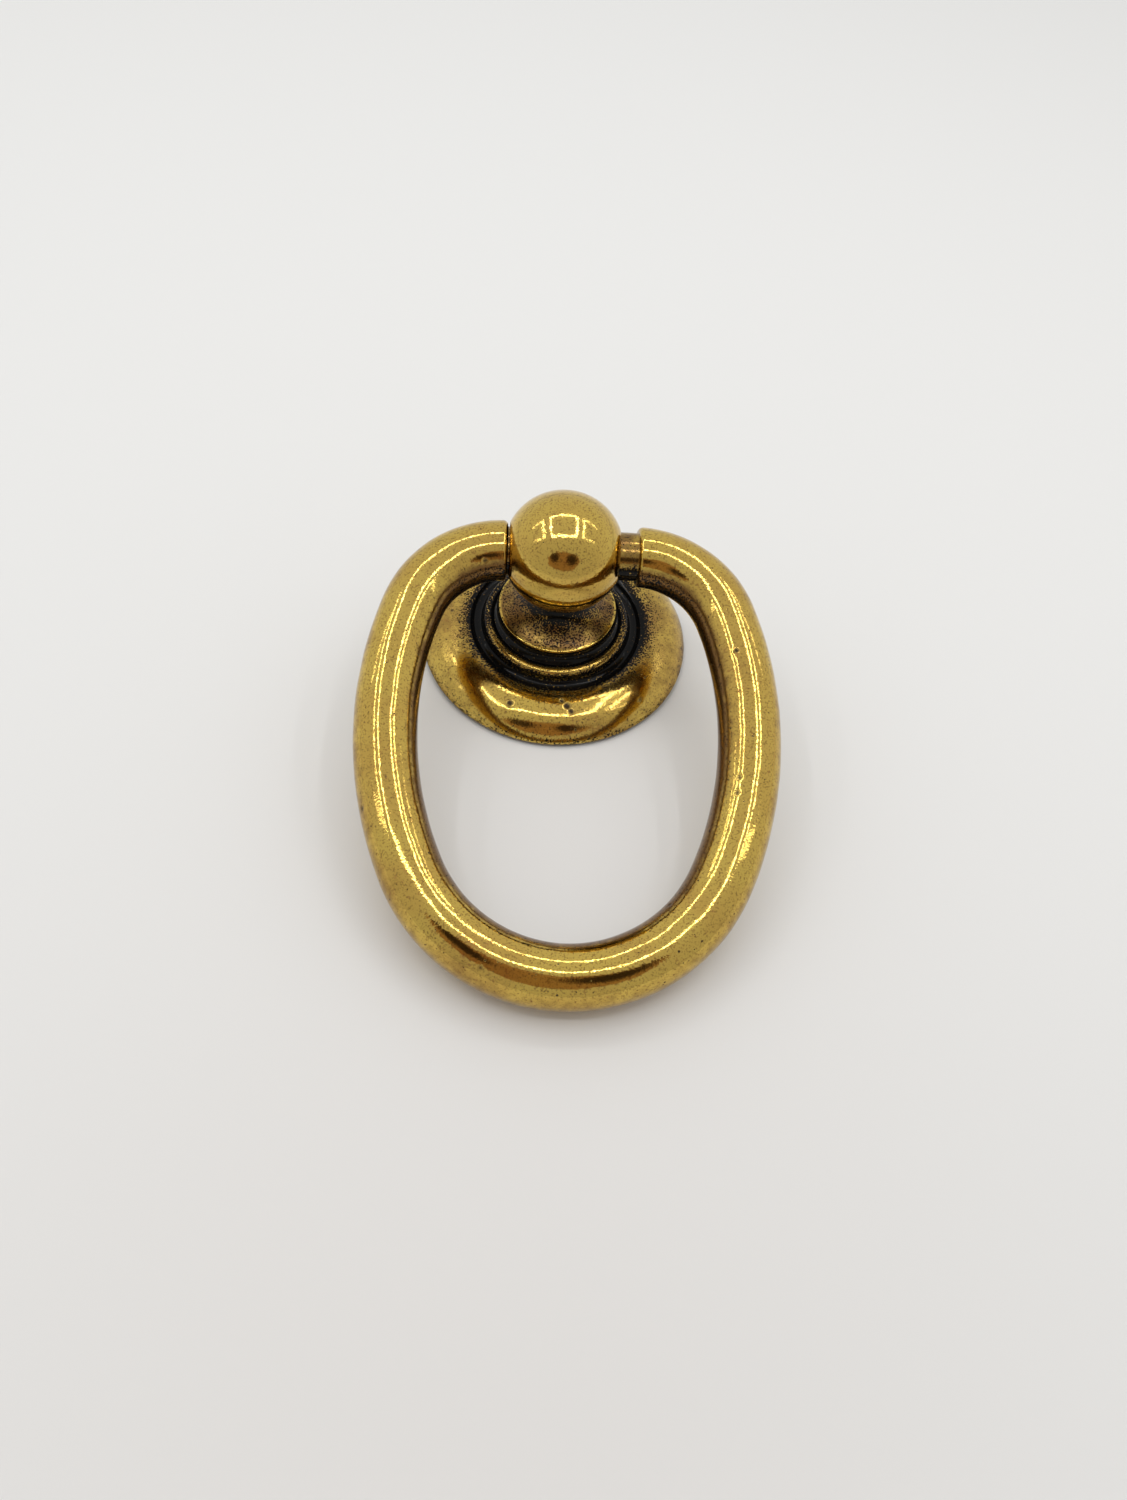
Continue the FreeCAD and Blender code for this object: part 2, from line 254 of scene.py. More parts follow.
def uneven(points, wavelength, seed):
    """Slow waves of a hand-finished casting, between -1 and 1: the average of plane waves
    cos(k . p + phase) in many directions, all of about the same wavelength."""
    dice = np.random.default_rng(seed)
    directions = dice.normal(size=(WAVE_COUNT, 3))
    directions /= np.linalg.norm(directions, axis=1)[:, None]
    waves = directions * (2 * np.pi / wavelength) * dice.uniform(0.7, 1.4, size=(WAVE_COUNT, 1))
    return np.cos(points @ waves.T + dice.uniform(0, 2 * np.pi, WAVE_COUNT)).mean(axis=-1) * 2


def hollows(points, places, widths, depths):
    """Casting pits: each lowers the surface by depth exp(-(d / width)^2) at distance d from its place."""
    distance = np.linalg.norm(points[..., None, :] - places, axis=-1)
    return -(depths * np.exp(-(distance / widths) ** 2)).sum(axis=-1)


print("a grid of 4 rows and 6 columns with two poles has", len(shell_faces(4, 6, False)), "faces")

# %% [markdown]
# ## The rose
# The rose is a round cast plate. From the rim a broad roll swells up, falls into a narrow groove, and a
# small bead stands around the seat of the post. Its back is relieved, so that it bears on the wood at the
# rim and the hub. A turned profile gives all this in one closed shell, with its lower edge rounded as
# buffing leaves it. A few pits of the casting are visible on the roll, and the whole surface waves by a few
# hundredths of a millimetre, which makes the reflections of the lamps wander.

# %% Rose surface
ROSE_RADIUS = rose_high[0]
ROSE_RIM = 0.6
EDGE_ROUNDING = 0.59
QUARTER_RISE = 0.29
ROLL_INNER = (9.6, 2.9)
ROLL_RISE = 1.06
GROOVE_INNER = (8.1, 3.2)
GROOVE_RISE = 0.65
SEAT_EDGE = (7.05, 3.8)
BEAD_RISE = 0.55
BORE_RADIUS = 4.05
RELIEF_DEPTH = 1.2
RELIEF_INNER = (6.05, 6.45)
RELIEF_OUTER = (11.8, 12.2)
ROSE_BUFF = 0.07
ROSE_COLUMNS = 460
ROSE_ROWS = 205

rose_drawn = np.vstack([
    [(BORE_RADIUS, 0), (RELIEF_INNER[0], 0), (RELIEF_INNER[1], RELIEF_DEPTH)],
    [(RELIEF_OUTER[0], RELIEF_DEPTH), (RELIEF_OUTER[1], 0)],
    arc((ROSE_RADIUS - EDGE_ROUNDING, 0), (ROSE_RADIUS, EDGE_ROUNDING), -QUARTER_RISE * EDGE_ROUNDING, 12),
    [(ROSE_RADIUS, EDGE_ROUNDING)],
    arc((ROSE_RADIUS, ROSE_RIM), ROLL_INNER, -ROLL_RISE),
    arc(ROLL_INNER, GROOVE_INNER, GROOVE_RISE),
    arc(GROOVE_INNER, SEAT_EDGE, -BEAD_RISE),
    [SEAT_EDGE, (BORE_RADIUS, SEAT_EDGE[1])],
])
rose_profile = spread(buff(rose_drawn, True, ROSE_BUFF), ROSE_ROWS, True, bend_share=0.35)
rose_normals = right_hand_normals(rose_profile, True)
rose_angles = np.linspace(0, 2 * np.pi, ROSE_COLUMNS, endpoint=False)[None, :]
rose_even = turned(rose_profile, rose_normals, rose_angles, 0.0)
rose_top = rose_profile[:, 1].max()
print("rose profile runs through", len(rose_profile), "points, highest", round(rose_top, 3), "mm")

# %% Rose casting marks
ROSE_WAVE = 0.025
ROSE_WAVELENGTH = 5.0
# Pits: angle in degrees, radius and height on the roll, width and depth.
ROSE_PITS = np.array([
    (-84.1, 11.69, 3.03, 0.26, 0.16),
    (-82.3, 12.30, 2.88, 0.22, 0.14),
    (-86.6, 11.06, 3.09, 0.20, 0.12),
    (-113.3, 12.43, 2.84, 0.30, 0.10),
    (-46.8, 13.56, 2.26, 0.18, 0.06),
    (175.5, 11.76, 3.01, 0.20, 0.07),
])
pit_angle = np.radians(ROSE_PITS[:, 0])
pit_places = np.column_stack([
    ROSE_PITS[:, 1] * np.cos(pit_angle),
    ROSE_PITS[:, 1] * np.sin(pit_angle),
    ROSE_PITS[:, 2],
])
rose_hollows = hollows(rose_even, pit_places, ROSE_PITS[:, 3], ROSE_PITS[:, 4])
above_back = np.clip((rose_profile[:, 1:] - 0.1) / 0.5, 0, 1)
rose_waves = ROSE_WAVE * uneven(rose_even, ROSE_WAVELENGTH, 3) * above_back
rose_offset = rose_waves + rose_hollows
rose_grid = turned(rose_profile, rose_normals, rose_angles, rose_offset)
rose = new_piece("cast_rose", rose_grid.reshape(-1, 3), shell_faces(ROSE_ROWS, ROSE_COLUMNS, True))
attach(rose, "base")
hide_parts("rose_plate")
print("rose has", len(rose.data.polygons), "faces, and its pits go", round(-rose_offset.min(), 3), "mm deep")

# %% [markdown]
# ## The post
# The post is turned from bar: a tenon that fills the bore of the rose, a stepped foot, a hollow neck and a
# ball. From below it has a tapped hole for the screw, and a smooth hole goes across the ball for the ends
# of the ring. The ball with its hole is a bead, turned about the hole's own axis, so the mouths of the hole
# come out clean. The shaft is turned about the upright axis, and its thread is the same profile with the
# radius pushed out along a helix. The two shells overlap, and an exact boolean makes them one skin. The
# slivers that it leaves are dissolved.

# %% Shaft surface
BALL_HEIGHT = 14.4
BALL_RADIUS = post_high[2] - BALL_HEIGHT
CROSS_HOLE_RADIUS = 2.8
NECK_RADIUS = 3.5
TENON_RADIUS = 4.0
FOOT = ((7.0, 3.8), (7.0, 4.05), (6.5, 5.55), (6.5, 5.8))
FOOT_RISE = 0.25
COVE_RISE = 0.7
NECK_HEIGHT = BALL_HEIGHT - math.sqrt(BALL_RADIUS**2 - NECK_RADIUS**2)
TAP_RADIUS = 1.65
TAP_DEPTH = 8.5
DRILL_HALF_ANGLE = math.radians(59)
DRILL_TIP = TAP_DEPTH + TAP_RADIUS / math.tan(DRILL_HALF_ANGLE)
THREAD_PITCH = 0.7
THREAD_DEPTH = 0.34
THREAD_END = TAP_DEPTH - 0.6
THREAD_RUN_OUT = 0.7
THREAD_START = 0.3
INSIDE_BALL = (3.2, 10.3)
SHAFT_TOP = 10.6
SHAFT_BUFF = 0.05
POLE_GAP = 0.05
SHAFT_COLUMNS = 250
OUTSIDE_ROWS = 118
TAP_ROWS = 104
TIP_ROWS = 6

shaft_outside = np.vstack([
    [(TAP_RADIUS, 0), (TENON_RADIUS, 0), (TENON_RADIUS, FOOT[0][1]), FOOT[0]],
    arc(FOOT[1], FOOT[2], FOOT_RISE),
    [FOOT[2]],
    arc(FOOT[3], (NECK_RADIUS, NECK_HEIGHT), COVE_RISE),
    [(NECK_RADIUS, NECK_HEIGHT), INSIDE_BALL, (POLE_GAP, SHAFT_TOP)],
])
outside_rows = spread(buff(shaft_outside, False, SHAFT_BUFF), OUTSIDE_ROWS, False, bend_share=0.4)
tap_heights = np.linspace(TAP_DEPTH, POLE_GAP, TAP_ROWS)
tip_radii = np.linspace(POLE_GAP, TAP_RADIUS, TIP_ROWS)
tip_heights = np.linspace(DRILL_TIP, TAP_DEPTH, TIP_ROWS)
hole_rows = np.vstack([
    np.column_stack([tip_radii, tip_heights])[:-1],
    np.column_stack([np.full(TAP_ROWS, TAP_RADIUS), tap_heights]),
])
shaft_profile = np.vstack([hole_rows, outside_rows])
shaft_normals = right_hand_normals(shaft_profile, False)
shaft_angles = np.linspace(0, 2 * np.pi, SHAFT_COLUMNS, endpoint=False)[None, :]
turns_up = shaft_profile[:, 1:] / THREAD_PITCH - shaft_angles / (2 * np.pi)
in_tap = np.abs(shaft_profile[:, :1] - TAP_RADIUS) < 0.001
below_end = np.clip((THREAD_END - shaft_profile[:, 1:]) / THREAD_RUN_OUT, 0, 1)
above_mouth = np.clip(shaft_profile[:, 1:] / THREAD_START, 0, 1)
thread = -THREAD_DEPTH * in_tap * below_end * above_mouth * np.abs(2 * (turns_up % 1) - 1)
shaft_grid = turned(shaft_profile, shaft_normals, shaft_angles, thread)
shaft_poles = np.array([(0, 0, DRILL_TIP), (0, 0, SHAFT_TOP)])
shaft_points = np.vstack([shaft_poles[:1], shaft_grid.reshape(-1, 3), shaft_poles[1:]])
shaft = new_piece("shaft", shaft_points, shell_faces(len(shaft_profile), SHAFT_COLUMNS, False))
thread_turns = TAP_DEPTH / THREAD_PITCH
print("shaft has", len(shaft.data.polygons), "faces; its thread makes", round(thread_turns, 1), "turns")

# %% Ball surface and the joined post
BALL_COLUMNS = 240
BALL_ROWS = 170
BALL_WAVE = 0.012
BALL_WAVELENGTH = 5.0
BALL_BUFF = 0.06
MOUTH_LIP = 0.3
SLIVER = 0.001

mouth = math.sqrt(BALL_RADIUS**2 - CROSS_HOLE_RADIUS**2)
ball_drawn = np.vstack([
    arc((CROSS_HOLE_RADIUS, -mouth), (CROSS_HOLE_RADIUS, mouth), CROSS_HOLE_RADIUS - BALL_RADIUS, 400),
    [(CROSS_HOLE_RADIUS, mouth)],
])
ball_profile = spread(buff(ball_drawn, True, BALL_BUFF), BALL_ROWS, True)
ball_normals = right_hand_normals(ball_profile, True)
ball_angles = np.linspace(0, 2 * np.pi, BALL_COLUMNS, endpoint=False)[None, :]
ball_even = turned(ball_profile, ball_normals, ball_angles, 0.0)
outside_hole = ball_profile[:, :1] > CROSS_HOLE_RADIUS + MOUTH_LIP
ball_offset = BALL_WAVE * uneven(ball_even, BALL_WAVELENGTH, 11) * outside_hole
ball_grid = turned(ball_profile, ball_normals, ball_angles, ball_offset)[..., [2, 0, 1]] + (0, 0, BALL_HEIGHT)
ball = new_piece("ball", ball_grid.reshape(-1, 3), shell_faces(BALL_ROWS, BALL_COLUMNS, True))

join = shaft.modifiers.new("join", "BOOLEAN")
join.operation = "UNION"
join.solver = "EXACT"
join.object = ball
joined = shaft.evaluated_get(bpy.context.evaluated_depsgraph_get())
post_mesh = bpy.data.meshes.new_from_object(joined)
post_mesh.name = "turned_post"
cleaned = bmesh.new()
cleaned.from_mesh(post_mesh)
bmesh.ops.dissolve_degenerate(cleaned, dist=SLIVER * MM, edges=cleaned.edges[:])
many_sided = [face for face in cleaned.faces if len(face.verts) > 4]
bmesh.ops.triangulate(cleaned, faces=many_sided)
cleaned.to_mesh(post_mesh)
cleaned.free()
post = smooth_object("turned_post", post_mesh)
bpy.data.objects.remove(shaft)
bpy.data.objects.remove(ball)
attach(post, "base")
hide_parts("ball_post")
print("post has", len(post_mesh.polygons), "faces and stands", round(post_high[2], 2), "mm high")

# %% [markdown]
# ## The ring
# The ring is a round bar bent to an oval, widest low down, with its two ends turned down to thin spigots
# that sit in the ball. A curve with a round bevel would give the bar, but not the steps at its ends. Here
# the bar's radius is a profile along the length, carried along the centre line. The centre line is found
# from its curvature alone: the heading is the running sum of the curvature, and the place is the running
# sum of the heading.

# %% Ring centre line
BAR_RADIUS = ring_high[2] - pivot_height
SPIGOT_RADIUS = 2.5
SPIGOT_LENGTH = 5.08
END_GAP = 1.08
RING_LENGTH = 43.8
WIDEST_DROP = 18.8
SHOULDER_TURN = math.radians(71)
BOTTOM_TURN = math.radians(66)
PATH_STEPS = 24000

half_gap = mouth + END_GAP
half_width = (ring_high[0] - ring_low[0]) / 2 - BAR_RADIUS
ring_shift = (ring_high[0] + ring_low[0]) / 2
ring_tilt = math.asin((pivot_height - BAR_RADIUS) / RING_LENGTH)


def quarter_turn_radii(turn, across, along):
    """Radii of two tangent arcs that turn 90 degrees between them: the first turns by turn, and together they
    go across and along by the two given distances. Two linear equations in the two radii."""
    sine, cosine = math.sin(turn), math.cos(turn)
    share = sine * cosine - (1 - sine) * (1 - cosine)
    first = (across * cosine - along * (1 - sine)) / share
    second = (along * sine - across * (1 - cosine)) / share
    return first, second


shoulder, upper_side = quarter_turn_radii(SHOULDER_TURN, half_width - half_gap, WIDEST_DROP)
bottom, lower_side = quarter_turn_radii(BOTTOM_TURN, half_width, RING_LENGTH - WIDEST_DROP)
quarter = math.pi / 2
half_stretches = [
    (SPIGOT_LENGTH, 0.0),
    (shoulder * SHOULDER_TURN, 1 / shoulder),
    (upper_side * (quarter - SHOULDER_TURN), 1 / upper_side),
    (lower_side * (quarter - BOTTOM_TURN), 1 / lower_side),
    (bottom * BOTTOM_TURN, 1 / bottom),
]
stretches = np.array(half_stretches + half_stretches[::-1])
path_length = stretches[:, 0].sum()
fine_along = np.linspace(0, path_length, PATH_STEPS + 1)
knots = np.concatenate([[0], np.cumsum(stretches[:, 0])])
turns = np.concatenate([[0], np.cumsum(stretches[:, 0] * stretches[:, 1])])
turned_by = np.interp(fine_along, knots, turns)
heading = np.column_stack([np.cos(-turned_by), np.sin(-turned_by)])
fine_step = fine_along[1] - fine_along[0]
fine_path = np.vstack([[0, 0], np.cumsum((heading[1:] + heading[:-1]) / 2 * fine_step, axis=0)])
fine_path[:, 0] += half_gap - SPIGOT_LENGTH
print("arc radii from end to bottom:", np.round([shoulder, upper_side, lower_side, bottom], 2), "mm")
print("centre line is", round(path_length, 2), "mm long and misses its own far end by",
      round(float(np.abs(fine_path[-1] + fine_path[0] * [1, -1]).max()), 5), "mm")

# %% Ring surface
RING_COLUMNS = 100
RING_ROWS = 950
END_ROUNDING = 0.45
END_RISE = 0.132
TIP_CHAMFER = 0.4
TIP_GAP = 0.02
RING_BUFF = 0.04
WAVE_FADE = 2.0
# Waves of the bar: depth, wavelength and seed.
BAR_WAVES = ((0.018, 4.5, 5), (0.012, 11.0, 8))

shoulder_face = SPIGOT_LENGTH
ring_end_drawn = np.vstack([
    [(0, TIP_GAP), (0, SPIGOT_RADIUS - TIP_CHAMFER)],
    [(TIP_CHAMFER, SPIGOT_RADIUS), (shoulder_face, SPIGOT_RADIUS)],
    arc((shoulder_face, BAR_RADIUS - END_ROUNDING), (shoulder_face + END_ROUNDING, BAR_RADIUS), END_RISE, 20),
    [(shoulder_face + END_ROUNDING, BAR_RADIUS), (path_length / 2, BAR_RADIUS)],
])
ring_end = buff(ring_end_drawn, False, RING_BUFF)
ring_drawn = np.vstack([ring_end, (ring_end * [-1, 1] + [path_length, 0])[::-1][1:]])
ring_profile = spread(ring_drawn, RING_ROWS, False, bend_share=0.22)
along_ring = ring_profile[:, 0]
around = np.linspace(0, 2 * np.pi, RING_COLUMNS, endpoint=False)[None, :]
centre = place_along(fine_path, fine_along, along_ring)
direction = place_along(heading, fine_along, along_ring)
outwards = np.column_stack([-direction[:, 1], direction[:, 0]])


def carried(radius):
    """The bar: from the centre line, radius cos b outwards in the ring's plane and radius sin b up from it,
    then tilted about x and moved to where the ring leans on the floor."""
    flat = centre[:, None, :] + outwards[:, None, :] * (radius * np.cos(around))[..., None]
    lift = radius * np.sin(around)
    return np.stack([
        flat[..., 0] + ring_shift,
        flat[..., 1] * math.cos(ring_tilt) - lift * math.sin(ring_tilt),
        flat[..., 1] * math.sin(ring_tilt) + lift * math.cos(ring_tilt) + pivot_height,
    ], axis=2)


ring_even = carried(ring_profile[:, 1:])
from_end = np.minimum(along_ring, path_length - along_ring)[:, None] - shoulder_face
on_bar = np.clip(from_end / WAVE_FADE, 0, 1)
ring_offset = sum(depth * uneven(ring_even, wave, seed) for depth, wave, seed in BAR_WAVES) * on_bar
print("ring tilts by", round(math.degrees(ring_tilt), 2), "degrees and its bar waves by",
      round(float(np.abs(ring_offset).max()), 3), "mm")

# %% Ring casting marks
# Pits: distance along the bar from the right shoulder, angle around it (0 outwards, 90 up), width and depth.
RING_PITS = np.array([
    (17.04, 109, 0.20, 0.10),
    (30.72, 117, 0.17, 0.08),
    (32.29, 115, 0.17, 0.08),
    (84.31, 30, 0.20, 0.07),
    (46.14, 155, 0.18, 0.06),
    (115.35, 133, 0.18, 0.08),
    (66.66, 60, 0.18, 0.05),
])
pit_row = np.abs(along_ring[:, None] - shoulder_face - RING_PITS[:, 0]).argmin(axis=0)
pit_column = np.abs(np.degrees(around[0])[:, None] - RING_PITS[:, 1]).argmin(axis=0)
ring_hollows = hollows(ring_even, ring_even[pit_row, pit_column], RING_PITS[:, 2], RING_PITS[:, 3])
ring_grid = carried(ring_profile[:, 1:] + ring_offset + ring_hollows)
tips = carried(np.zeros((RING_ROWS, 1)))
ring_points = np.vstack([tips[0, :1], ring_grid.reshape(-1, 3), tips[-1, :1]])
ring = new_piece("bent_ring", ring_points, shell_faces(RING_ROWS, RING_COLUMNS, False))
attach(ring, "ring")
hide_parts("pull_ring")
print("ring has", len(ring.data.polygons), "faces")

# %% [markdown]
# ## Where the black stays, and where shade is painted
# Antique brass is blackened all over and then rubbed bright, so the black stays where the cloth didn't
# reach: in the groove, in the cove of the foot, under the ball and on the inside of the ring near the ball.
# Occlusion could be measured, but a maker knows these places, so they are written down as numbers per
# vertex. The same numbers also carry painted shade: the rim's lower edge, the sides of the roll and of the
# bead, the undersides of the spigots and the ring's outer flank are painted darker than their metal, and in
# the cove under the ball part of the black and brown is painted shade. One number says how much black is
# left or painted, one how far the bright metal has gone brown or is painted darker, satin how dull the
# polish is, and pit where a casting pit has kept its dirt.

# %% Black, brown and painted shade of the rose
# Radius and the black there; beyond 14.2 mm out to the rim it is partly black stipple and partly painted
# contact shade.
ROSE_SHELTER = np.array([
    (7.0, 1.0), (7.15, 0.95), (7.3, 0.5), (7.45, 0.26), (7.9, 0.26), (8.08, 0.5), (8.25, 1.0), (9.5, 1.0),
    (9.8, 0.8), (10.2, 0.54), (10.8, 0.35), (11.5, 0.18), (12.5, 0.0), (14.2, 0.0), (14.7, 0.2), (15.0, 0.42),
])
BACK_RADIUS = 12.5
BACK_HEIGHT = 1.6
BACK_SHELTER = 0.55
RIGHT_WIDENING = 0.45
FRONT_NARROWING = 0.5
ROLL_RADII = (9.0, 14.0)
BEAD_RADIUS = 7.7
BEAD_HALF_WIDTH = 0.75
BEAD_FADE = 0.25
BEAD_SIDE_PAINTED_SHADE = 0.5
RIM_SHADE_HEIGHTS = (0.25, 0.6)
ROSE_TARNISH = 0.12
SIDE_PAINTED_SHADE = 0.28
TARNISH_BY_SHELTER = 0.5
ROSE_SATIN = 0.1
SIDE_SATIN = 0.6
BEAD_SATIN = 0.4
PIT_DIRT_DEPTH = 0.05
FRONT = math.radians(-90)
RIGHT = math.radians(20)

rose_is_back = (rose_profile[:, 0] < BACK_RADIUS) & (rose_profile[:, 1] < BACK_HEIGHT)
faces_front = np.cos(rose_angles - FRONT)
right_side = RIGHT_WIDENING * np.clip(np.cos(rose_angles - RIGHT), 0, 1)
front_side = FRONT_NARROWING * np.clip(faces_front, 0, 1) ** 2
on_roll = (rose_profile[:, :1] > ROLL_RADII[0]) * (rose_profile[:, :1] < ROLL_RADII[1])
rubbed_radius = rose_profile[:, :1] + (front_side - right_side) * on_roll
on_bead = np.clip((BEAD_HALF_WIDTH - np.abs(rose_profile[:, :1] - BEAD_RADIUS)) / BEAD_FADE, 0, 1)
# Painted shade: the lowest part of the rim, next to the floor, is painted black as a dark contact line.
rim_painted_shade = np.interp(rose_profile[:, 1:], RIM_SHADE_HEIGHTS, (1, 0)) * ~rose_is_back[:, None]
rose_black_and_shade = np.interp(rubbed_radius, *ROSE_SHELTER.T)
# Painted shade: the bead is painted blacker the further it turns away from the front.
rose_black_and_shade += BEAD_SIDE_PAINTED_SHADE * on_bead * np.clip(0.85 - faces_front, 0, 1)
rose_black_and_shade = np.maximum(np.where(rose_is_back[:, None], BACK_SHELTER, rose_black_and_shade), rim_painted_shade)
# Painted shade: the roll is painted browner on its left and right sides, as darker surroundings show there;
# the rest of this brown is tarnish.
rose_brown_and_shade = ROSE_TARNISH + TARNISH_BY_SHELTER * rose_black_and_shade + SIDE_PAINTED_SHADE * np.abs(np.cos(rose_angles))
rose_satin = ROSE_SATIN + SIDE_SATIN * np.clip(1 - faces_front, 0, 1) + BEAD_SATIN * on_bead
keep_on_mesh(rose, "black_and_shade", rose_black_and_shade)
keep_on_mesh(rose, "brown_and_shade", rose_brown_and_shade)
keep_on_mesh(rose, "satin", rose_satin)
keep_on_mesh(rose, "pit", np.clip(-rose_hollows / PIT_DIRT_DEPTH, 0, 1))
print("black covers about", round(float((rose_black_and_shade > 0.5).mean()), 2), "of the rose's grid")

# %% Black, brown and painted shade of the post
# Height and the black there; in the cove and under the ball it is partly patina and partly painted shade.
POST_SHELTER = np.array([
    (3.7, 1.0), (5.42, 1.0), (5.55, 0.15), (5.8, 0.2), (5.95, 0.36), (6.5, 0.4), (7.2, 0.52), (8.0, 0.76),
    (8.8, 1.0), (9.5, 0.85), (10.2, 0.36), (11.0, 0.06), (12.5, -0.05), (15.0, -0.12), (21.0, -0.12),
])
HOLE_SHELTER = 0.9
COVE_FRONT_PAINTED_REFLECTION = 0.12
COVE_REFLECTION_WIDTH = 0.4
COVE_HEIGHTS = (5.85, 9.6)
COVE_BROWN_AND_SHADE = 0.85
POST_TARNISH = 0.1

post_points = np.zeros(len(post_mesh.vertices) * 3)
post_mesh.vertices.foreach_get("co", post_points)
post_points = post_points.reshape(-1, 3) / MM
in_cross_hole = np.hypot(post_points[:, 1], post_points[:, 2] - BALL_HEIGHT) < CROSS_HOLE_RADIUS + 0.05
post_black_and_shade = np.where(in_cross_hole, HOLE_SHELTER, np.interp(post_points[:, 2], *POST_SHELTER.T))
in_cove = (post_points[:, 2] > COVE_HEIGHTS[0]) & (post_points[:, 2] < COVE_HEIGHTS[1])
off_front = np.arctan2(post_points[:, 0], -post_points[:, 1])
# Painted reflection: the cove is painted blacker at its front, where it mirrors a dark thing in front of the
# pull.
post_black_and_shade += COVE_FRONT_PAINTED_REFLECTION * in_cove * np.exp(-(off_front / COVE_REFLECTION_WIDTH) ** 2)
keep_on_mesh(post, "black_and_shade", post_black_and_shade)
# In the cove under the ball the brown is partly tarnish and partly painted shade.
post_brown_and_shade = np.where(in_cove, COVE_BROWN_AND_SHADE, POST_TARNISH + TARNISH_BY_SHELTER * post_black_and_shade)
keep_on_mesh(post, "brown_and_shade", post_brown_and_shade)
keep_on_mesh(post, "satin", in_cove.astype(float))
print("the cove holds", int(in_cove.sum()), "of the post's", len(post_points), "vertices")

# %% Black, brown and painted shade of the ring
INSIDE = math.radians(180)
INSIDE_LOW = math.radians(214)
SPIGOT_SHADE_ANGLE = math.radians(230)
# Cosines of the angle from such a place at which its black or brown starts and is full.
INSIDE_EDGES = (0.55, 0.96)
INSIDE_LOW_EDGES = (0.1, 0.95)
OUTSIDE_EDGES = (0.5, 0.9)
SPIGOT_SHADE_EDGES = (-0.05, 0.3)
NEAR_BALL = 11.0
BAR_SHELTER = -0.1
INSIDE_SHELTER = 0.28
INSIDE_LOW_SHELTER = 0.56
SPIGOT_BLACK_AND_SHADE = (0.15, 1.0)
BAR_TARNISH = 0.1
INSIDE_TARNISH = 0.9
INSIDE_LOW_TARNISH = 0.5
OUTSIDE_BROWN_AND_SHADE = 0.36
SPIGOT_TARNISH = 0.72
TIP_SHELTER = 0.6
TIP_TARNISH = 1.0
BAR_DIRT_DEPTH = 0.04


def smooth_step(value, low, high):
    """0 below low, 1 above high, and 3 t^2 - 2 t^3 between."""
    share = np.clip((value - low) / (high - low), 0, 1)
    return share * share * (3 - 2 * share)


faces_in = smooth_step(np.cos(around - INSIDE), *INSIDE_EDGES)
faces_out = smooth_step(np.cos(around), *OUTSIDE_EDGES)
near_ball = np.exp(-(np.clip(from_end, 0, None) / NEAR_BALL) ** 2)
low_near_ball = near_ball * smooth_step(np.cos(around - INSIDE_LOW), *INSIDE_LOW_EDGES)
ring_black_and_shade = BAR_SHELTER + INSIDE_LOW_SHELTER * low_near_ball + INSIDE_SHELTER * faces_in
ring_brown_and_shade = BAR_TARNISH + INSIDE_LOW_TARNISH * low_near_ball + INSIDE_TARNISH * faces_in
# The outer flank of the bar is painted browner: partly tarnish, partly painted shade for the darker
# surroundings that it reflects.
ring_brown_and_shade = ring_brown_and_shade + OUTSIDE_BROWN_AND_SHADE * faces_out
on_spigot = from_end < 0.02
# Painted shade and reflection: each spigot is painted black underneath, where it lies in shade and mirrors
# the dark groove below.
spigot_underside_shade = smooth_step(np.cos(around - SPIGOT_SHADE_ANGLE), *SPIGOT_SHADE_EDGES)
spigot_black_and_shade = SPIGOT_BLACK_AND_SHADE[0] + (SPIGOT_BLACK_AND_SHADE[1] - SPIGOT_BLACK_AND_SHADE[0]) * spigot_underside_shade
ring_black_and_shade = np.where(on_spigot, spigot_black_and_shade, ring_black_and_shade)
ring_brown_and_shade = np.where(on_spigot, SPIGOT_TARNISH, ring_brown_and_shade)
ring_dirt = np.clip(-ring_hollows / BAR_DIRT_DEPTH, 0, 1)
for name, values, at_tips in (
    ("black_and_shade", ring_black_and_shade, TIP_SHELTER),
    ("brown_and_shade", ring_brown_and_shade, TIP_TARNISH),
    ("pit", ring_dirt, 0.0),
):
    keep_on_mesh(ring, name, np.concatenate([[at_tips], values.ravel(), [at_tips]]))
print("most sheltered place on the bar:", round(float(ring_black_and_shade.max()), 2))

# %% [markdown]
# ## Shader arithmetic
# A material is a graph of nodes, and a formula in it takes many of them. This small class holds one socket
# and turns Python operators into Math nodes, so a mask can be written as a line of arithmetic. Every other
# node comes from its method node, which sets the node's settings first and then fills its inputs with
# numbers or with other wires.

